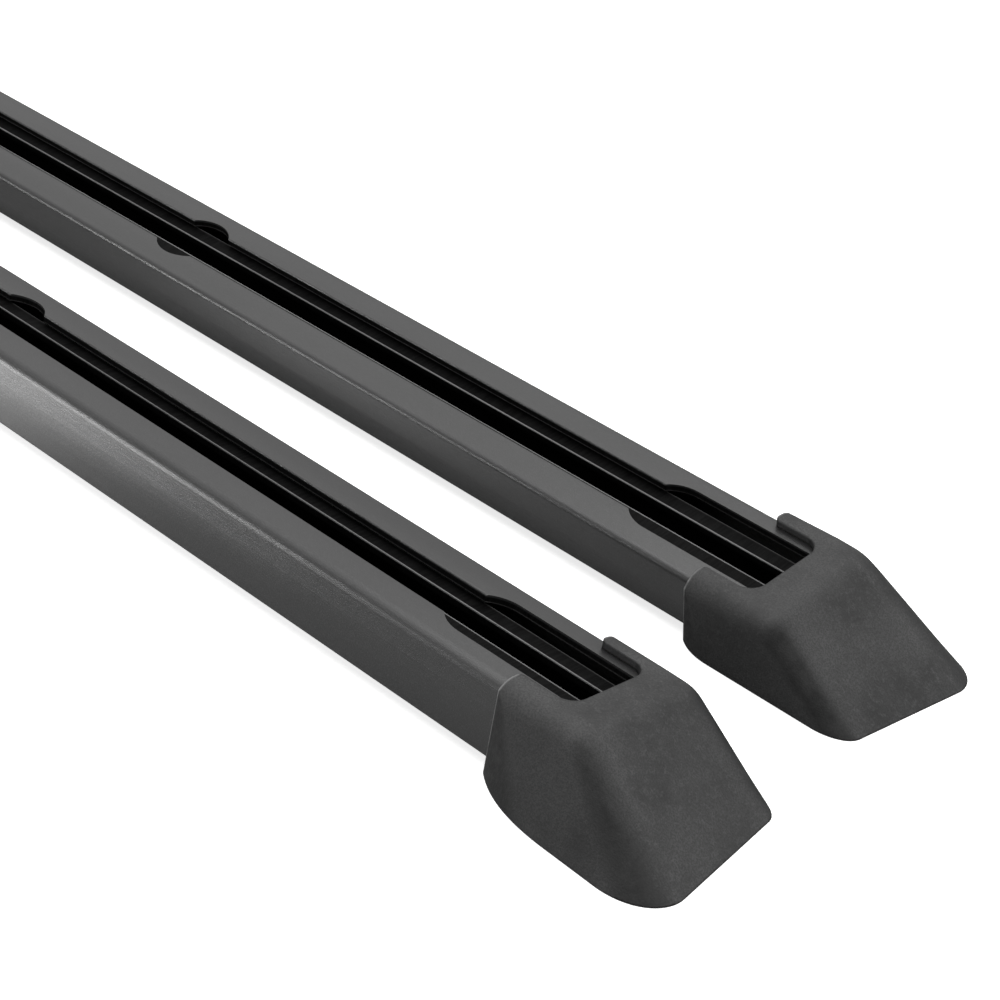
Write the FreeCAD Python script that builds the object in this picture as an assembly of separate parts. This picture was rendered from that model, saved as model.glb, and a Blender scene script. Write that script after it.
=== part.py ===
# Pair of roof mounting tracks: two handed aluminium channel rails with moulded rubber end caps.
# Millimetres. +X runs along the rails, +Z is up, +Y is towards the far track.
# Origin: middle of the pair on the ground plane.
# One track is described with its outboard side towards +Y; the near track is its mirror image.
import FreeCAD
import Part
import math
import os

os.makedirs("parts", exist_ok=True)

# Driving dimensions of the pair
rail_length = 1066.8
track_spacing = 84.0
track_stagger = 6.0

# Driving dimensions of the rail section, heights measured from the rail's underside
rail_lift = 4.2
slot_width = 17.0
slot_height = 19.9
top_tilt = 6.2
wall = 2.4
inboard_edge = 21.3
outboard_edge = 20.8
inboard_foot = 19.4
outboard_foot = 25.7
crown_start = 13.0
crown_drop = 0.6
crown_radius = 60.0
inboard_shoulder_radius = 2.2
outboard_shoulder_radius = 4.0
knee_height = 7.5
knee_reach = 21.2
knee_radius = 8.0
bulge_height = 10.0
bulge_reach = 24.4
bulge_radius = 40.0
foot_radius = 0.8
slot_edge_radius = 0.5
slot_overcut = 0.6

# Driving dimensions of the inner ledges, measured from the tilted top
ledge_inner = 4.2
ledge_outer = 9.9
ledge_depth = 3.7
ledge_thickness = 2.4
web_thickness = 2.2

# Driving dimensions of the milled openings and drilled holes
cutter_diameter = 25.4
cutter_clearance = 0.6
cutout_reach = 54.3
notch_pitch = 254.0
notch_count = 3
hole_diameter = 6.6
hole_inset = 58.4
hole_count = 6

# Driving dimensions of the end cap, lengths measured outwards from the end of the rail
sleeve_length = 27.6
sleeve_clearance = 0.15
end_clearance = 0.3
cap_rise = 2.3
tail_wall_inboard = 1.4
tail_wall_outboard = 1.2
tail_turn = 45.0
tail_overrun = 14.0

# Foot and top of the end cap, measured where its faces would meet without rounding
base_inboard = 24.8
base_outboard_back = 35.6
base_outboard_front = 38.0
nose_inboard_x = 34.6
nose_outboard_x = 42.6
top_inboard = 24.9
top_outboard = 25.2
brow_x = 2.2

# Rounding of the end cap, where some upright corners widen from the top to these radii at the ground
shoulder_radius = 7.5
nose_outboard_radius = 13.5
tail_inboard_radius = 20.0
tail_outboard_radius = 31.0

# U-shaped mouth of the end cap
mouth_half_width = 16.1
mouth_end = 9.4
mouth_radius = 6.0
prong_tip_radius = 2.0

# Driving dimensions of the inside of the end cap
shell_wall = 3.6
rib_width = 2.4
rib_places = (-8.0, 18.0)
plug_length = 9.0
plug_clearance = 0.3
ceiling_drop = 3.0

# Driving dimensions of the cap screw
screw_inset = 4.5
screw_shank = 4.0
screw_head = 7.0
screw_head_height = 2.4
screw_length = 10.0
screw_clearance = 0.1
screw_hex = 2.5
screw_hex_depth = 1.4
screw_access = 9.0

# Driving dimensions of the sealing strips
strip_width = 8.0
strip_inset = 5.4
strip_end_gap = 0.5

# Derived sizes
half_length = rail_length / 2.0
tilt = math.radians(top_tilt)
slot_half = slot_width / 2.0
cutter_radius = cutter_diameter / 2.0
cutout_centre = half_length - cutout_reach
hole_pitch = (rail_length - 2.0 * hole_inset) / (hole_count - 1)
back_x = -sleeve_length
boot_room = nose_outboard_x + base_outboard_front
match_tolerance = 0.05
beyond = rail_length
vector = FreeCAD.Vector
origin = vector(0, 0, 0)
long_axis = vector(1, 0, 0)
cross_axis = vector(0, 1, 0)
up_axis = vector(0, 0, 1)
slot_out_axis = vector(0, math.cos(tilt), math.sin(tilt))
slot_up_axis = vector(0, -math.sin(tilt), math.cos(tilt))
slot_origin = vector(0, 0, rail_lift + slot_height)


def section_point(y, z):
    """Point of the cross-section, measured from the rail's underside."""
    return vector(0, y, rail_lift + z)


def slot_point(u, v):
    """Point of the cross-section, measured along the tilted top from the slot's centre."""
    return slot_origin + slot_out_axis * u + slot_up_axis * v


def top_point(x, u, v):
    """Point at a place along the rail, measured from the tilted top."""
    return slot_point(u, v) + long_axis * x


def under_ledge(y, gap):
    """Height of the ledges' tilted underside at a place across the rail, less a gap."""
    start = slot_point(0, -ledge_depth - ledge_thickness - gap)
    return start.z + (y - start.y) * math.tan(tilt)


def web_inner_face(side):
    """Distance of a web's inner face from the middle of the rail."""
    return slot_point(side * ledge_outer, -ledge_depth).y - side * web_thickness


def polygon_face(points):
    return Part.Face(Part.makePolygon(points + [points[0]]))


def box_between(x0, x1, y0, y1, z0, z1):
    return Part.makeBox(x1 - x0, y1 - y0, z1 - z0, vector(x0, y0, z0))


def rounded_wire(corners):
    """Closed flat outline through corners given as (point, radius), each corner an arc."""
    starts = []
    middles = []
    ends = []
    total = len(corners)
    for index in range(total):
        corner, radius = corners[index]
        before = (corners[index - 1][0] - corner).normalize()
        after = (corners[(index + 1) % total][0] - corner).normalize()
        half_angle = before.getAngle(after) / 2.0
        reach = radius / math.tan(half_angle)
        bisector = (before + after).normalize()
        centre = corner + bisector * (radius / math.sin(half_angle))
        starts.append(corner + before * reach)
        middles.append(centre - bisector * radius)
        ends.append(corner + after * reach)
    edges = []
    for index in range(total):
        following = (index + 1) % total
        edges.append(Part.Arc(starts[index], middles[index], ends[index]).toShape())
        edges.append(Part.makeLine(ends[index], starts[following]))
    return Part.Wire(edges)


def rail_outline():
    """Outer outline of the extrusion: crowned tilted top, bulged outboard wall, tucked inboard foot."""
    corners = [
        (section_point(-inboard_foot, 0), foot_radius),
        (section_point(outboard_foot, 0), foot_radius),
        (section_point(bulge_reach, bulge_height), bulge_radius),
        (slot_point(outboard_edge, -crown_drop), outboard_shoulder_radius),
        (slot_point(crown_start, 0), crown_radius),
        (slot_point(-crown_start, 0), crown_radius),
        (slot_point(-inboard_edge, -crown_drop), inboard_shoulder_radius),
        (section_point(-knee_reach, knee_height), knee_radius),
    ]
    return rounded_wire(corners)


def ledge_face(side):
    """One inner ledge with the upright web that carries it."""
    web_inner = web_inner_face(side)
    web_outer = web_inner + side * web_thickness
    floor_level = rail_lift + wall / 2.0
    points = [
        slot_point(side * ledge_inner, -ledge_depth),
        slot_point(side * ledge_outer, -ledge_depth),
        vector(0, web_outer, floor_level),
        vector(0, web_inner, floor_level),
        vector(0, web_inner, under_ledge(web_inner, 0)),
        slot_point(side * ledge_inner, -ledge_depth - ledge_thickness),
    ]
    return polygon_face(points)


def channel_blank(length):
    """Plain extrusion: hollow crowned channel, two ledges inside and the open slot."""
    run = long_axis * length
    outline = rail_outline()
    cavity = Part.Face(outline.makeOffset2D(-wall))
    channel = Part.Face(outline).cut(cavity).extrude(run)
    ledges = [ledge_face(side).extrude(run) for side in (-1, 1)]
    slot_floor = -wall - slot_overcut
    mouth = polygon_face([
        slot_point(-slot_half, slot_floor),
        slot_point(slot_half, slot_floor),
        slot_point(slot_half, slot_overcut),
        slot_point(-slot_half, slot_overcut),
    ])
    return channel.fuse(ledges).cut(mouth.extrude(run)).removeSplitter()


def round_slot_edges(rail):
    """Soft rounding along the two top edges of the slot."""
    chosen = []
    for edge in rail.Edges:
        middle = edge.BoundBox.Center
        for side in (-1, 1):
            target = slot_point(side * slot_half, 0)
            near_y = abs(middle.y - target.y) < match_tolerance
            near_z = abs(middle.z - target.z) < match_tolerance
            if near_y and near_z:
                chosen.append(edge)
    return rail.makeFillet(slot_edge_radius, chosen)


def cutter_path(start, finish):
    """Space swept by the round milling cutter through the lips between two places."""
    depth = wall + cutter_clearance
    foot = slot_point(0, -depth) + long_axis * start
    tool = Part.makeCylinder(cutter_radius, 2 * depth, foot, slot_up_axis)
    if finish > start:
        corner = foot - slot_out_axis * cutter_radius
        across = slot_out_axis * cutter_diameter
        along = long_axis * (finish - start)
        sweep = polygon_face([corner, corner + across, corner + across + along, corner + along])
        tool = tool.fuse(sweep.extrude(slot_up_axis * 2 * depth))
    return tool


def floor_hole(radius, x):
    """Drill through the rail's floor."""
    return Part.makeCylinder(radius, 2 * wall, vector(x, 0, rail_lift - wall / 2.0))


def row_places(count, pitch):
    """Evenly spaced places, centred on the middle of the rail."""
    return [(index - (count - 1) / 2.0) * pitch for index in range(count)]


def make_rail():
    """Extruded channel with milled cut-outs, round notches and floor holes."""
    rail = channel_blank(rail_length)
    rail.translate(long_axis * -half_length)
    rail = round_slot_edges(rail)
    cutout = cutter_path(cutout_centre, half_length + cutter_radius)
    tools = [cutout, cutout.mirror(origin, long_axis)]
    for place in row_places(notch_count, notch_pitch):
        tools.append(cutter_path(place, place))
    for place in row_places(hole_count, hole_pitch):
        tools.append(floor_hole(hole_diameter / 2.0, place))
    for end in (-1, 1):
        place = end * (half_length - screw_inset)
        tools.append(floor_hole(screw_shank / 2.0 + screw_clearance, place))
    return rail.cut(tools)


def plane_through(first, second, third):
    """Face plane of the boot through three points, as a point and its outward direction."""
    outward = (second - first).cross(third - first).normalize()
    if outward.dot(first - slot_origin / 2) < 0:
        outward = outward * -1
    return first, outward


def moved_in(plane, distance):
    point, outward = plane
    return point - outward * distance, outward


def beyond_plane(plane):
    """Everything on the outer side of a plane."""
    point, outward = plane
    sheet = Part.Plane(point, outward).toShape(-beyond, beyond, -beyond, beyond)
    return sheet.extrude(outward * beyond)


def meeting_point(planes):
    """Point that three planes share."""
    normals = [outward for point, outward in planes]
    total = vector(0, 0, 0)
    for index in range(3):
        point, outward = planes[index]
        side = normals[index - 2].cross(normals[index - 1])
        total += side * point.dot(outward)
    return total / normals[0].dot(normals[1].cross(normals[2]))


def boot_planes():
    """Planes of the boot: tilted top, sloping nose, and a side and a turned-in tail on each hand."""
    top = (top_point(0, 0, cap_rise), slot_up_axis)
    back = (long_axis * back_x, -long_axis)
    inboard_front = vector(nose_inboard_x, -base_inboard, 0)
    outboard_front = vector(nose_outboard_x, base_outboard_front, 0)
    inboard_back = vector(back_x, -base_inboard, 0)
    outboard_back = vector(back_x, base_outboard_back, 0)
    planes = {
        "top": top,
        "nose": plane_through(inboard_front, outboard_front, top_point(brow_x, 0, cap_rise)),
        "inboard": plane_through(inboard_back, inboard_front, top_point(0, -top_inboard, cap_rise)),
        "outboard": plane_through(outboard_back, outboard_front, top_point(0, top_outboard, cap_rise)),
    }
    turn = math.radians(tail_turn)
    heels = {"inboard": -inboard_foot - tail_wall_inboard, "outboard": outboard_foot + tail_wall_outboard}
    for side, reach in heels.items():
        heel = vector(back_x, reach, 0)
        along = vector(math.cos(turn), math.copysign(math.sin(turn), reach), 0)
        planes[side + "_tail"] = plane_through(heel, heel + along, meeting_point([planes[side], top, back]))
    return planes


def widening_corner(faces, top_centre, top_radius, foot_radius):
    """Corner between two faces, widening to the ground: its cone and the plane across its edges."""
    sunk = [moved_in(plane, foot_radius) for plane in faces]
    foot_centre = meeting_point(sunk + [(origin, up_axis)])
    axis = foot_centre - top_centre
    widening = foot_radius - top_radius
    apex = top_centre - axis * (top_radius / widening)
    spread = math.asin(widening / axis.Length)
    cone = Part.makeCone(0, 2 * boot_room * math.tan(spread), 2 * boot_room, apex, axis)
    touches = [foot_centre + outward * foot_radius for point, outward in faces]
    return cone, plane_through(apex, *touches)


def nose_corner(planes, inset):
    """Outboard corner of the nose, or of the hollow in it when moved in."""
    centre = meeting_point([moved_in(planes[name], shoulder_radius) for name in ("outboard", "nose", "top")])
    faces = [moved_in(planes[name], inset) for name in ("outboard", "nose")]
    return widening_corner(faces, centre, shoulder_radius - inset, nose_outboard_radius - inset)


def tail_corner(planes, side, radius):
    """Corner where a side turns in to the rail, sharp at the top."""
    faces = [planes[side], planes[side + "_tail"]]
    return widening_corner(faces, meeting_point(faces + [planes["top"]]), 0, radius)


def trimmed_block(start, low, planes):
    """Block in front of a place along the rail, trimmed by planes."""
    block = box_between(start, boot_room, -boot_room, boot_room, low, boot_room)
    return block.cut([beyond_plane(plane) for plane in planes])


def shared_edges(solid, first, second):
    """Edges of a solid that lie in both planes."""
    chosen = []
    for edge in solid.Edges:
        gaps = []
        for point, outward in (first, second):
            gaps += [abs((vertex.Point - point).dot(outward)) for vertex in edge.Vertexes]
        if max(gaps) < match_tolerance:
            chosen.append(edge)
    return chosen


def boot_blank(planes):
    """Outside form of the boot: rounded brow, shoulders and corners, tails turned in to the rail."""
    block = trimmed_block(back_x, 0, [planes[name] for name in ("top", "nose", "inboard", "outboard")])
    edges = shared_edges(block, planes["top"], planes["nose"])
    for side in ("inboard", "outboard"):
        edges += shared_edges(block, planes[side], planes["top"])
        edges += shared_edges(block, planes[side], planes["nose"])
    block = block.makeFillet(shoulder_radius, edges)
    corners = [nose_corner(planes, 0)]
    for side, radius in (("inboard", tail_inboard_radius), ("outboard", tail_outboard_radius)):
        block = block.cut(beyond_plane(planes[side + "_tail"]))
        corners.append(tail_corner(planes, side, radius))
    for cone, chord in corners:
        block = block.cut(beyond_plane(chord).cut(cone))
    return block


def sleeve_space():
    """Room for the rail inside the boot, open towards the rail."""
    profile = Part.Face(rail_outline().makeOffset2D(sleeve_clearance))
    profile.translate(long_axis * (back_x - tail_overrun))
    return profile.extrude(long_axis * (end_clearance - back_x + tail_overrun))


def mouth_cut():
    """U-shaped opening in the top of the boot, with rounded tips to the two prongs."""
    level = -sleeve_clearance
    outside = base_outboard_front
    corners = []
    for side in (-1, 1):
        half = [
            (top_point(back_x - tail_overrun, side * outside, level), mouth_radius),
            (top_point(back_x, side * outside, level), prong_tip_radius),
            (top_point(back_x, side * mouth_half_width, level), prong_tip_radius),
            (top_point(-mouth_end, side * mouth_half_width, level), mouth_radius),
        ]
        corners += half if side < 0 else half[::-1]
    return Part.Face(rounded_wire(corners)).extrude(slot_up_axis * slot_height)


def nose_pocket(planes):
    """Hollow under the nose, open below and crossed by ribs, its outboard corner cut off flat."""
    start = end_clearance + shell_wall
    walls = [moved_in(planes[name], shell_wall) for name in ("nose", "inboard", "outboard")]
    walls.append(moved_in(planes["top"], shell_wall + ceiling_drop))
    cone, chord = nose_corner(planes, shell_wall)
    walls.append(chord)
    hollow = trimmed_block(start, -rail_lift, walls)
    ribs = []
    for place in rib_places:
        low = place - rib_width / 2
        ribs.append(box_between(start, beyond, low, low + rib_width, -beyond, beyond))
    return hollow.cut(ribs)


def cap_plug():
    """Tongue behind the nose that fills the chamber under the ledges."""
    left = web_inner_face(-1) + plug_clearance
    right = web_inner_face(1) - plug_clearance
    floor_level = rail_lift + wall + plug_clearance
    face = polygon_face([
        vector(-plug_length, left, floor_level),
        vector(-plug_length, right, floor_level),
        vector(-plug_length, right, under_ledge(right, plug_clearance)),
        vector(-plug_length, left, under_ledge(left, plug_clearance)),
    ])
    return face.extrude(long_axis * (plug_length + end_clearance + shell_wall / 2))


def screw_hole(x):
    """Hole for the cap screw in the tongue, as deep as the screw is long."""
    radius = (screw_shank + screw_clearance) / 2
    return Part.makeCylinder(radius, screw_length + screw_clearance, vector(x, 0, rail_lift))


def make_cap():
    """Moulded boot: sleeve over the rail end, U-shaped opening, sloping hollow nose and inner tongue."""
    planes = boot_planes()
    boot = boot_blank(planes).cut([sleeve_space(), mouth_cut(), nose_pocket(planes)])
    boot = boot.fuse(cap_plug()).removeSplitter()
    access = Part.makeCylinder(screw_access / 2, rail_lift, vector(-screw_inset, 0, 0))
    return boot.cut([access, screw_hole(-screw_inset)])


def make_screw():
    """Flat-headed socket screw that holds a cap, its head against the rail's underside."""
    seat = vector(-screw_inset, 0, rail_lift)
    foot = seat - up_axis * screw_head_height
    head = Part.makeCylinder(screw_head / 2, screw_head_height, foot)
    stem = Part.makeCylinder(screw_shank / 2, screw_length, seat)
    corner = screw_hex / math.sqrt(3)
    points = []
    for index in range(6):
        angle = math.radians(60 * index)
        points.append(foot + vector(corner * math.cos(angle), corner * math.sin(angle), 0))
    socket = polygon_face(points).extrude(up_axis * screw_hex_depth)
    return head.fuse(stem).cut(socket)


def make_strip(side):
    """Self-adhesive sealing strip along one edge of the rail's underside."""
    foot = outboard_foot if side > 0 else inboard_foot
    outer = side * (foot - strip_inset)
    inner = outer - side * strip_width
    reach = half_length - sleeve_length - strip_end_gap
    return box_between(-reach, reach, min(inner, outer), max(inner, outer), 0, rail_lift)


def turned_end(shape):
    """The same piece for the other end of the rail: its mirror image across the length."""
    return shape.mirror(origin, long_axis)


def place_far(shape):
    moved = shape.copy()
    moved.translate(vector(-track_stagger / 2, track_spacing / 2, 0))
    return moved


def place_near(shape):
    """Opposite hand: mirror image across the middle of the pair."""
    moved = shape.mirror(origin, cross_axis)
    moved.translate(vector(track_stagger / 2, -track_spacing / 2, 0))
    return moved


def export(name, shape):
    shape.exportStep("parts/" + name + ".step")
    print(name, shape.isValid(), len(shape.Solids), round(shape.Volume, 1))


def main():
    cap = make_cap()
    screw = make_screw()
    for piece in (cap, screw):
        piece.translate(long_axis * half_length)
    pieces = {
        "rail": make_rail(),
        "front_cap": cap,
        "rear_cap": turned_end(cap),
        "cap_screws": Part.makeCompound([screw, turned_end(screw)]),
        "outboard_strip": make_strip(1),
        "inboard_strip": make_strip(-1),
    }
    for name, shape in pieces.items():
        export("far_" + name, place_far(shape))
        export("near_" + name, place_near(shape))


main()
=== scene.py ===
import math

import bpy
import numpy as np
from mathutils import Matrix, Vector
from mathutils.bvhtree import BVHTree


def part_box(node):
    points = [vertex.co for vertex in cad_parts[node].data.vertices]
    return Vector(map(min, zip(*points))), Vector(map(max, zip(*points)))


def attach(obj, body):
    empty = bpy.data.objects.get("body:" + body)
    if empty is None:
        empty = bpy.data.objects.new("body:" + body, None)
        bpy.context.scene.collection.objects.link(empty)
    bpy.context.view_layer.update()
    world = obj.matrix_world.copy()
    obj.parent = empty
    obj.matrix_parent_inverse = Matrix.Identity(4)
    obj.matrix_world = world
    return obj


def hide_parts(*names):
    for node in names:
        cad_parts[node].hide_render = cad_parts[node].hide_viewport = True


# Camera: place in metres, heading, downward tilt and roll in degrees, focal length on a 36 mm sensor.
CAMERA_PLACE = (0.82854, -0.44015, 0.39069)
CAMERA_YAW = 131.098
CAMERA_PITCH = 31.865
CAMERA_ROLL = -6.116
CAMERA_LENS = 83.628

# Rail section, metres: middle and height of the slot, tilt of the crown in degrees, edges of the inner ledges.
SLOT_MIDDLE = 0.042
SLOT_TOP = 0.0241
SLOT_TILT = 6.2
LEDGE_DEPTH = 0.0037
LEDGE_INNER = 0.0042
LEDGE_OUTER = 0.0099
LIP_DEPTH = 0.0024

# Easing of the caps' outer skin, lengths in metres.
# A cap is first remeshed on a grid of 2 to the power of FINE_DEPTH cells.
FINE_DEPTH = 7
FINE_SCALE = 0.95
SKIN_LIMIT = 0.0021
SKIN_ROUNDS = 160
SKIN_STEP = 0.5
EDGE_ROUNDS = 5
FACING_AWAY = -0.3
RAY_START = 0.0006
RAY_REACH = 0.09

# Where the easing fades out: towards the sleeve over the rail, the ground edge and the inboard side.
SLEEVE_LENGTH = 0.0276
SLEEVE_FADE = (0.010, 0.012)
GROUND_FADE = (0.0006, 0.0050)
INBOARD_SHARE = 0.35
OUTBOARD_GAIN = 1.3
OUTBOARD_START = 0.25

# Glows in the floor that only the gloss sees: a diagonal band, with its strength
# outside the near track and between the two tracks.
GLOW_LINE = 0.330
GLOW_WIDTH = 0.060
GLOW_OUTSIDE = 4.0
GLOW_BETWEEN = 2.2
BETWEEN_MIDDLE = -0.014
BETWEEN_HALF = 0.016

# Floor: half its side and its depth below the object, metres. World: direction that the gloss finds white.
FLOOR_HALF = 12.0
FLOOR_DROP = 0.0002
WHITE_SIDE = (-0.656, 0.755, 0.0)

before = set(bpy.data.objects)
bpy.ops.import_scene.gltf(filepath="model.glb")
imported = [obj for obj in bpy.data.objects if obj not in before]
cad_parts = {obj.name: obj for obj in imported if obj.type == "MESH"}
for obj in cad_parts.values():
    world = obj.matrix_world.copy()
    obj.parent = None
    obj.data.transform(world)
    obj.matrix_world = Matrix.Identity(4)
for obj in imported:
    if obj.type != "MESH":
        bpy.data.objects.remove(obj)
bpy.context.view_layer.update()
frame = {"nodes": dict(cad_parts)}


class Graph:
    """Small helper to write a node material as plain lines."""

    def __init__(self, name):
        self.material = bpy.data.materials.new(name)
        self.material.use_nodes = True
        self.nodes = self.material.node_tree.nodes
        self.links = self.material.node_tree.links
        self.nodes.clear()
        self.output = self.nodes.new("ShaderNodeOutputMaterial")
        self.shader = self.nodes.new("ShaderNodeBsdfPrincipled")
        self.join(self.shader.outputs["BSDF"], self.output.inputs["Surface"])

    def join(self, source, target):
        self.links.new(source, target)

    def feed(self, node, name, value):
        socket = node.inputs[name]
        if isinstance(value, bpy.types.NodeSocket):
            self.join(value, socket)
        else:
            socket.default_value = value

    def place(self, scale):
        """Object coordinates in metres, scaled along each axis."""
        where = self.nodes.new("ShaderNodeTexCoord")
        mapping = self.nodes.new("ShaderNodeMapping")
        mapping.inputs["Scale"].default_value = scale
        self.join(where.outputs["Object"], mapping.inputs["Vector"])
        return mapping.outputs["Vector"]

    def noise(self, scale, detail, roughness, stretch=(1, 1, 1)):
        node = self.nodes.new("ShaderNodeTexNoise")
        self.join(self.place(stretch), node.inputs["Vector"])
        node.inputs["Scale"].default_value = scale
        node.inputs["Detail"].default_value = detail
        node.inputs["Roughness"].default_value = roughness
        return node.outputs["Fac"]

    def cells(self, scale):
        node = self.nodes.new("ShaderNodeTexVoronoi")
        self.join(self.place((1, 1, 1)), node.inputs["Vector"])
        node.inputs["Scale"].default_value = scale
        return node.outputs["Distance"]

    def span(self, value, low, high, start=0.0, end=1.0):
        node = self.nodes.new("ShaderNodeMapRange")
        self.join(value, node.inputs["Value"])
        node.inputs["From Min"].default_value = low
        node.inputs["From Max"].default_value = high
        node.inputs["To Min"].default_value = start
        node.inputs["To Max"].default_value = end
        return node.outputs["Result"]

    def axis(self, name):
        """One of the three places in metres: X runs along the rails."""
        split = self.nodes.new("ShaderNodeSeparateXYZ")
        self.join(self.place((1, 1, 1)), split.inputs["Vector"])
        return split.outputs[name]

    def slot_frame(self):
        """Distance from the middle of the slot and depth below its top, the same for both hands."""
        aside = self.math("SUBTRACT", self.math("ABSOLUTE", self.axis("Y"), 0.0), SLOT_MIDDLE)
        above = self.math("SUBTRACT", self.axis("Z"), SLOT_TOP)
        lean, rise = math.sin(math.radians(SLOT_TILT)), math.cos(math.radians(SLOT_TILT))
        out = self.math("ADD", self.math("MULTIPLY", aside, rise), self.math("MULTIPLY", above, lean))
        depth = self.math("SUBTRACT", self.math("MULTIPLY", aside, lean), self.math("MULTIPLY", above, rise))
        return self.math("ABSOLUTE", out, 0.0), depth

    def near(self, value, middle, reach):
        """1 at the middle, fading to 0 at the given reach on both sides."""
        gap = self.math("ABSOLUTE", self.math("SUBTRACT", value, middle), 0.0)
        return self.span(gap, 0.5 * reach, reach, 1.0, 0.0)

    def math(self, operation, first, second):
        node = self.nodes.new("ShaderNodeMath")
        node.operation = operation
        for socket, value in zip(node.inputs, (first, second)):
            if isinstance(value, bpy.types.NodeSocket):
                self.join(value, socket)
            else:
                socket.default_value = value
        return node.outputs["Value"]

    def blend(self, factor, first, second):
        node = self.nodes.new("ShaderNodeMix")
        node.data_type = "RGBA"
        if isinstance(factor, bpy.types.NodeSocket):
            self.join(factor, node.inputs["Factor"])
        else:
            node.inputs["Factor"].default_value = factor
        for name, value in (("A", first), ("B", second)):
            socket = [s for s in node.inputs if s.name == name and s.type == "RGBA"][0]
            if isinstance(value, bpy.types.NodeSocket):
                self.join(value, socket)
            else:
                socket.default_value = value
        return [s for s in node.outputs if s.type == "RGBA"][0]

    def bump(self, height, strength, distance, normal=None):
        node = self.nodes.new("ShaderNodeBump")
        node.inputs["Strength"].default_value = strength
        node.inputs["Distance"].default_value = distance
        self.join(height, node.inputs["Height"])
        if normal is not None:
            self.join(normal, node.inputs["Normal"])
        return node.outputs["Normal"]


def grey(value):
    return (value, value, value, 1.0)


def coated_rail():
    """Satin black coating: fine grain and faint die lines outside; painted shade darkens the channel, with painted
    highlight lines along the ledge edges.
    """
    g = Graph("coated_rail")
    grain = g.noise(2600.0, 2.0, 0.6)
    patch = g.noise(14.0, 4.0, 0.6, (0.35, 1.0, 1.0))
    streak = g.noise(900.0, 3.0, 0.6, (0.004, 1.0, 1.0))
    lines = g.noise(5200.0, 2.0, 0.6, (0.01, 1.0, 1.0))
    scratch = g.noise(1500.0, 2.0, 0.6, (1.0, 0.06, 0.06))
    out, depth = g.slot_frame()
    inside = g.math("MULTIPLY", g.span(out, 0.0136, 0.0150, 1.0, 0.0), g.span(depth, 0.0003, 0.0009))
    deep = g.span(depth, 0.0040, 0.0065)

    colour = g.blend(g.span(patch, 0.3, 0.7), grey(0.014), grey(0.026))
    colour = g.blend(g.span(grain, 0.52, 0.72, 0.0, 0.45), colour, grey(0.065))
    # Painted shade: nearly black colour inside the channel, darker still further down where shade falls; the channel
    # also reflects less there.
    painted_channel_shade = g.blend(g.span(scratch, 0.35, 0.65), grey(0.002), grey(0.006))
    painted_channel_shade = g.blend(deep, painted_channel_shade, grey(0.002))
    colour = g.blend(inside, colour, painted_channel_shade)
    # Painted highlights: thin bright lines along the ledge's inner and outer edges and the lip's underside, where the
    # edges catch the light; streaks break them up.
    on_ledge = g.near(depth, LEDGE_DEPTH, 0.0005)
    painted_light_or_shade = g.math("MULTIPLY", on_ledge, g.near(out, LEDGE_INNER, 0.0005))
    glint_breakup = g.span(streak, 0.3, 0.6, 0.55, 1.0)
    colour = g.blend(g.math("MULTIPLY", painted_light_or_shade, glint_breakup), colour, grey(0.22))
    painted_edge_glint = g.math("MULTIPLY", on_ledge, g.near(out, LEDGE_OUTER, 0.0004))
    painted_edge_glint = g.math("MAXIMUM", painted_edge_glint, g.math("MULTIPLY", inside, g.near(depth, LIP_DEPTH, 0.0003)))
    colour = g.blend(g.math("MULTIPLY", painted_edge_glint, glint_breakup), colour, grey(0.055))
    g.feed(g.shader, "Base Color", colour)

    rough = g.math("ADD", g.span(patch, 0.3, 0.7, 0.29, 0.36), g.span(grain, 0.2, 0.8, -0.03, 0.03))
    g.feed(g.shader, "Roughness", g.math("ADD", rough, g.math("MULTIPLY", inside, 0.16)))
    g.feed(g.shader, "IOR", 1.65)
    g.feed(g.shader, "Specular IOR Level", g.span(inside, 0.0, 1.0, 0.5, 0.02))
    normal = g.bump(streak, 0.10, 0.0002)
    normal = g.bump(lines, 0.40, 0.00008, normal)
    normal = g.bump(grain, 0.45, 0.00010, normal)
    g.feed(g.shader, "Normal", normal)
    return g.material


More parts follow.
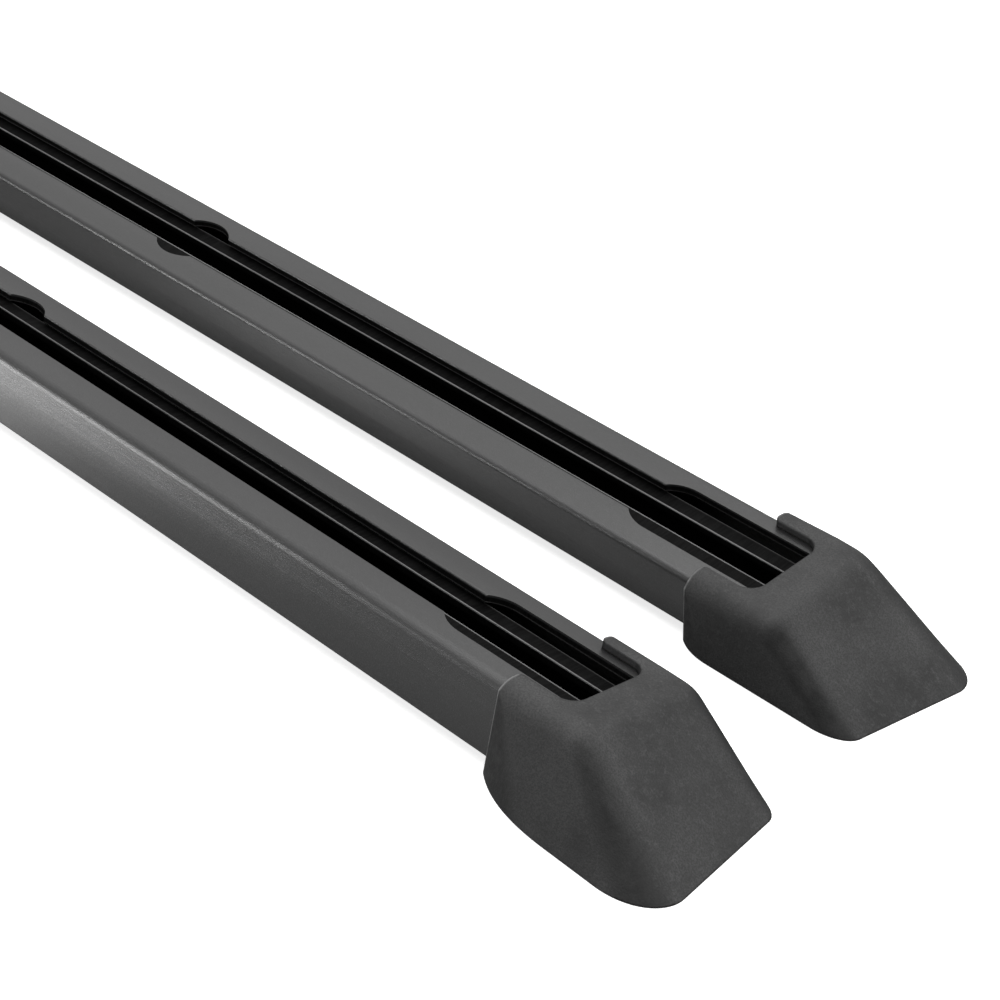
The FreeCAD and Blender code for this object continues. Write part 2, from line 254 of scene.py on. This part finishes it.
def cap_rubber(name, rim_x):
    """Matte moulded rubber: mottled bloom, pebbled skin; painted shade darkens the rolled corners and flanks by their
    facing, and a painted highlight runs along the rim at the rail.
    """
    g = Graph(name)
    cloud = g.noise(38.0, 2.0, 0.5)
    blotch = g.noise(130.0, 4.0, 0.62)
    mottle = g.noise(480.0, 4.0, 0.65)
    grain = g.noise(1900.0, 2.0, 0.6)
    colour = g.blend(g.span(cloud, 0.36, 0.64), grey(0.026), grey(0.062))
    colour = g.blend(g.span(blotch, 0.38, 0.68, 0.0, 0.5), colour, grey(0.066))
    colour = g.blend(g.span(mottle, 0.48, 0.70, 0.0, 0.7), colour, grey(0.082))
    colour = g.blend(g.span(grain, 0.38, 0.62, 0.60, 0.0), colour, grey(0.020))

    # Painted shade: rolled corners and sideways-facing flanks are coloured darker by the way they face, where shade
    # falls on them; blotches break up the corners.
    facing = g.nodes.new("ShaderNodeNewGeometry")
    split = g.nodes.new("ShaderNodeSeparateXYZ")
    g.join(facing.outputs["Normal"], split.inputs["Vector"])
    corner = g.math("ABSOLUTE", g.math("MULTIPLY", split.outputs["X"], split.outputs["Y"]), 0.0)
    painted_flank_shade = g.span(g.math("ABSOLUTE", split.outputs["Y"], 0.0), 0.0, 1.0, 0.0, 0.40)
    painted_light_or_shade = g.math("MULTIPLY", g.span(corner, 0.0, 0.24), g.span(blotch, 0.30, 0.60, 0.70, 1.0))
    colour = g.blend(g.math("MAXIMUM", painted_light_or_shade, painted_flank_shade), colour, grey(0.007))

    # Painted highlight: a pale line along the cap's edge at the rail, where its rounded edge catches the light;
    # mottle breaks it up.
    from_rim = g.math("ABSOLUTE", g.math("SUBTRACT", g.axis("X"), rim_x), 0.0)
    rim = g.math("MULTIPLY", g.span(from_rim, 0.0002, 0.0007, 1.0, 0.0), g.span(mottle, 0.35, 0.55, 0.4, 1.0))
    colour = g.blend(rim, colour, grey(0.20))
    g.feed(g.shader, "Base Color", colour)
    g.feed(g.shader, "Roughness", g.span(mottle, 0.3, 0.7, 0.62, 0.80))
    g.feed(g.shader, "IOR", 1.45)
    normal = g.bump(mottle, 0.55, 0.00025)
    normal = g.bump(grain, 0.5, 0.00012, normal)
    g.feed(g.shader, "Normal", normal)
    return g.material


def foam_strip():
    """Closed-cell foam, dull and finely pitted."""
    g = Graph("foam_strip")
    pits = g.cells(1600.0)
    cloud = g.noise(90.0, 3.0, 0.6)
    g.feed(g.shader, "Base Color", g.blend(cloud, grey(0.012), grey(0.028)))
    g.feed(g.shader, "Roughness", g.span(cloud, 0.3, 0.7, 0.88, 0.96))
    g.feed(g.shader, "Normal", g.bump(pits, 0.5, 0.0002))
    return g.material


def screw_steel():
    """Bright zinc-plated steel with turning marks."""
    g = Graph("screw_steel")
    marks = g.noise(3000.0, 2.0, 0.5, (1.0, 1.0, 6.0))
    cloud = g.noise(500.0, 3.0, 0.6)
    g.feed(g.shader, "Base Color", g.blend(cloud, grey(0.42), grey(0.60)))
    g.feed(g.shader, "Metallic", 1.0)
    g.feed(g.shader, "Roughness", g.span(marks, 0.3, 0.7, 0.26, 0.40))
    g.feed(g.shader, "Normal", g.bump(marks, 0.2, 0.00005))
    return g.material


def eased_cap(name, node, material):
    """A finer copy of the moulding whose nose eases from flat to flat.

    Only points that see nothing of the cap before them and don't face the rail are eased.
    The easing fades out over the last 10 mm of the sleeve and towards the ground edge.
    """
    piece = bpy.data.objects.new(name + "_skin", node.data.copy())
    bpy.context.scene.collection.objects.link(piece)
    remesh = piece.modifiers.new("fine", "REMESH")
    remesh.mode = "SHARP"
    remesh.octree_depth = FINE_DEPTH
    remesh.scale = FINE_SCALE
    remesh.sharpness = 1.0
    remesh.use_remove_disconnected = False
    remesh.use_smooth_shade = True
    graph = bpy.context.evaluated_depsgraph_get()
    mesh = bpy.data.meshes.new_from_object(piece.evaluated_get(graph))
    piece.modifiers.clear()
    piece.data = mesh
    count = len(mesh.vertices)
    start = np.empty(count * 3)
    mesh.vertices.foreach_get("co", start)
    start = start.reshape(-1, 3)
    normals = np.empty(count * 3)
    mesh.vertex_normals.foreach_get("vector", normals)
    normals = normals.reshape(-1, 3)
    edges = np.empty(len(mesh.edges) * 2, dtype=np.int64)
    mesh.edges.foreach_get("vertices", edges)
    first, second = edges.reshape(-1, 2).T
    share = np.bincount(first, minlength=count) + np.bincount(second, minlength=count)

    def mean(values):
        total = np.bincount(first, values[second], count) + np.bincount(second, values[first], count)
        return total / share

    tree = BVHTree.FromPolygons([tuple(v) for v in start], [tuple(p.vertices) for p in mesh.polygons])
    skin = np.zeros(count)
    away_from_rail = normals[:, 0] * np.sign(start[:, 0]) > FACING_AWAY
    away_from_ground = normals[:, 2] > FACING_AWAY
    for index in np.nonzero(away_from_ground & away_from_rail)[0]:
        way = Vector(normals[index])
        if tree.ray_cast(Vector(start[index]) + RAY_START * way, way, RAY_REACH)[0] is None:
            skin[index] = 1.0
    for _ in range(EDGE_ROUNDS):
        skin = np.minimum(skin, mean(skin))
    low_corner, high_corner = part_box(name)
    rim = min(abs(low_corner[0]), abs(high_corner[0]))
    along = np.abs(start[:, 0]) - rim - SLEEVE_LENGTH
    near_side, far_side = sorted((abs(low_corner[1]), abs(high_corner[1])))
    outward = (np.abs(start[:, 1]) - near_side) / (far_side - near_side)
    skin *= np.clip((along + SLEEVE_FADE[0]) / SLEEVE_FADE[1], 0.0, 1.0)
    skin *= np.clip((start[:, 2] - GROUND_FADE[0]) / GROUND_FADE[1], 0.0, 1.0)
    skin *= np.clip(INBOARD_SHARE + OUTBOARD_GAIN * (outward - OUTBOARD_START), INBOARD_SHARE, 1.0)

    points = start.copy()
    for _ in range(SKIN_ROUNDS):
        for axis in range(3):
            column = points[:, axis]
            points[:, axis] += SKIN_STEP * skin * (mean(column) - column)
    move = points - start
    length = np.linalg.norm(move, axis=1)
    scale = SKIN_LIMIT / np.maximum(length, SKIN_LIMIT)
    mesh.vertices.foreach_set("co", (start + move * scale[:, None]).ravel())
    mesh.update()
    mesh.materials.clear()
    mesh.materials.append(material)
    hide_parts(name)
    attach(piece, "root")


def dress(nodes):
    """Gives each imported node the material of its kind, and each cap its eased skin."""
    kinds = {
        "rail": coated_rail(),
        "outboard_strip": foam_strip(),
        "cap_screws": screw_steel(),
    }
    kinds["inboard_strip"] = kinds["outboard_strip"]
    for name, piece in nodes.items():
        kind = name.split("_", 1)[1]
        if kind.endswith("cap"):
            low_corner, high_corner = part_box(name)
            rim_x = min(low_corner[0], high_corner[0], key=abs)
            material = cap_rubber("cap_rubber_" + name, rim_x)
            eased_cap(name, piece, material)
        else:
            material = kinds[kind]
        for slot in piece.material_slots:
            slot.material = material


def floor_material():
    """White floor with a faint contact shadow. Gloss sees it calmer, with two soft glows brighter than white."""
    g = Graph("studio_floor")
    g.nodes.remove(g.shader)
    path = g.nodes.new("ShaderNodeLightPath")
    plain = g.nodes.new("ShaderNodeBsdfDiffuse")
    bounce = g.blend(path.outputs["Is Diffuse Ray"], grey(0.80), grey(0.30))
    g.join(g.blend(path.outputs["Is Glossy Ray"], bounce, grey(0.45)), plain.inputs["Color"])

    across = g.math("SUBTRACT", g.math("SUBTRACT", g.axis("X"), g.axis("Y")), GLOW_LINE)
    away = g.math("ADD", g.axis("X"), g.axis("Y"))
    band = g.math("DIVIDE", across, GLOW_WIDTH)
    band = g.math("POWER", 2.718, g.math("MULTIPLY", g.math("MULTIPLY", band, band), -0.5))
    reach = g.math("MULTIPLY", g.span(away, 0.00, 0.24, 1.0, 0.15), g.span(away, -1.2, -0.6, 0.0, 1.0))
    reach = g.math("MULTIPLY", reach, g.span(g.axis("Y"), -0.075, -0.068, GLOW_OUTSIDE, 0.0))
    aside = g.math("DIVIDE", g.math("ADD", g.axis("Y"), -BETWEEN_MIDDLE), BETWEEN_HALF)
    between = g.math("SUBTRACT", 1.0, g.math("ABSOLUTE", aside, 0.0))
    between = g.math("MULTIPLY", g.math("MAXIMUM", between, 0.0), GLOW_BETWEEN)
    spot = g.math("MULTIPLY", band, g.math("ADD", reach, between))
    strength = g.math("MULTIPLY", path.outputs["Is Glossy Ray"], spot)
    square_x = g.math("MULTIPLY", g.axis("X"), g.axis("X"))
    square = g.math("ADD", square_x, g.math("MULTIPLY", g.axis("Y"), g.axis("Y")))
    white = g.span(square, 0.8, 6.0, 0.76, 1.0)
    strength = g.math("ADD", strength, g.math("MULTIPLY", path.outputs["Is Camera Ray"], white))
    glow = g.nodes.new("ShaderNodeEmission")
    glow.inputs["Color"].default_value = grey(1.0)
    g.join(strength, glow.inputs["Strength"])
    total = g.nodes.new("ShaderNodeAddShader")
    g.join(plain.outputs[0], total.inputs[0])
    g.join(glow.outputs[0], total.inputs[1])
    g.join(total.outputs[0], g.output.inputs["Surface"])
    return g.material


def make_floor():
    mesh = bpy.data.meshes.new("studio_floor")
    half = FLOOR_HALF
    corners = [(-half, -half, 0), (half, -half, 0), (half, half, 0), (-half, half, 0)]
    mesh.from_pydata(corners, [], [(0, 1, 2, 3)])
    floor = bpy.data.objects.new("studio_floor", mesh)
    floor.location.z = -FLOOR_DROP
    bpy.context.scene.collection.objects.link(floor)
    mesh.materials.append(floor_material())


def make_world():
    """White studio: white background, even soft light, and gloss that is white behind and dimmer in front and low."""
    world = bpy.data.worlds.new("studio")
    bpy.context.scene.world = world
    world.use_nodes = True
    nodes = world.node_tree.nodes
    links = world.node_tree.links
    nodes.clear()
    output = nodes.new("ShaderNodeOutputWorld")

    def background(strength):
        node = nodes.new("ShaderNodeBackground")
        node.inputs["Color"].default_value = grey(1.0)
        node.inputs["Strength"].default_value = strength
        return node

    def choose(factor, first, second):
        node = nodes.new("ShaderNodeMixShader")
        links.new(factor, node.inputs["Fac"])
        links.new(first.outputs[0], node.inputs[1])
        links.new(second.outputs[0], node.inputs[2])
        return node

    def ramp(value, low, high, start, end):
        node = nodes.new("ShaderNodeMapRange")
        links.new(value, node.inputs["Value"])
        node.inputs["From Min"].default_value = low
        node.inputs["From Max"].default_value = high
        node.inputs["To Min"].default_value = start
        node.inputs["To Max"].default_value = end
        return node.outputs["Result"]

    where = nodes.new("ShaderNodeTexCoord")
    split = nodes.new("ShaderNodeSeparateXYZ")
    links.new(where.outputs["Generated"], split.inputs["Vector"])
    behind = nodes.new("ShaderNodeVectorMath")
    behind.operation = "DOT_PRODUCT"
    links.new(where.outputs["Generated"], behind.inputs[0])
    behind.inputs[1].default_value = WHITE_SIDE
    product = nodes.new("ShaderNodeMath")
    product.operation = "MULTIPLY"
    links.new(ramp(split.outputs["Z"], 0.20, 0.48, 0.38, 1.03), product.inputs[0])
    links.new(ramp(behind.outputs["Value"], 0.15, 0.65, 0.45, 1.0), product.inputs[1])
    gloss = background(1.0)
    links.new(product.outputs["Value"], gloss.inputs["Strength"])
    path = nodes.new("ShaderNodeLightPath")
    pick = choose(path.outputs["Is Glossy Ray"], background(0.12), gloss)
    pick = choose(path.outputs["Is Camera Ray"], pick, background(1.0))
    links.new(pick.outputs[0], output.inputs["Surface"])


def make_softbox(name, place, target, size, power, in_gloss=True):
    lamp = bpy.data.lights.new(name, "AREA")
    lamp.shape = "RECTANGLE"
    lamp.size, lamp.size_y = size
    lamp.energy = power
    box = bpy.data.objects.new(name, lamp)
    bpy.context.scene.collection.objects.link(box)
    box.location = place
    box.rotation_mode = "QUATERNION"
    box.rotation_quaternion = (Vector(target) - Vector(place)).to_track_quat("-Z", "Y")
    box.visible_camera = False
    box.visible_glossy = in_gloss


def make_camera():
    yaw, pitch, roll = (math.radians(a) for a in (CAMERA_YAW, CAMERA_PITCH, CAMERA_ROLL))
    ahead = Vector((math.cos(yaw) * math.cos(pitch), math.sin(yaw) * math.cos(pitch), -math.sin(pitch)))
    level = Vector((math.sin(yaw), -math.cos(yaw), 0))
    down = ahead.cross(level)
    right = level * math.cos(roll) + down * math.sin(roll)
    up = level * math.sin(roll) - down * math.cos(roll)
    data = bpy.data.cameras.new("camera")
    data.lens = CAMERA_LENS
    data.sensor_width = 36.0
    data.clip_start = 0.01
    data.clip_end = 50.0
    camera = bpy.data.objects.new("camera", data)
    bpy.context.scene.collection.objects.link(camera)
    turn = Matrix((right, up, -ahead)).transposed()
    camera.rotation_mode = "QUATERNION"
    camera.rotation_quaternion = turn.to_quaternion()
    camera.location = CAMERA_PLACE
    bpy.context.scene.camera = camera


dress(frame["nodes"])
make_floor()
make_world()
make_softbox("overhead", (0.3, 0.0, 1.8), (0.2, 0.0, 0.0), (2.4, 1.6), 36.0)
make_softbox("left_fill", (-1.3, -1.1, 0.8), (0.4, -0.05, 0.0), (1.2, 1.0), 7.0, False)
make_softbox("right_fill", (2.3, 0.6, 0.9), (0.5, 0.0, 0.0), (1.0, 0.8), 30.0, False)
make_softbox("left_panel", (-0.35, -0.70, 0.13), (0.27, -0.02, 0.02), (0.12, 0.28), 3.0)
make_camera()
bpy.context.scene.view_settings.view_transform = "Standard"
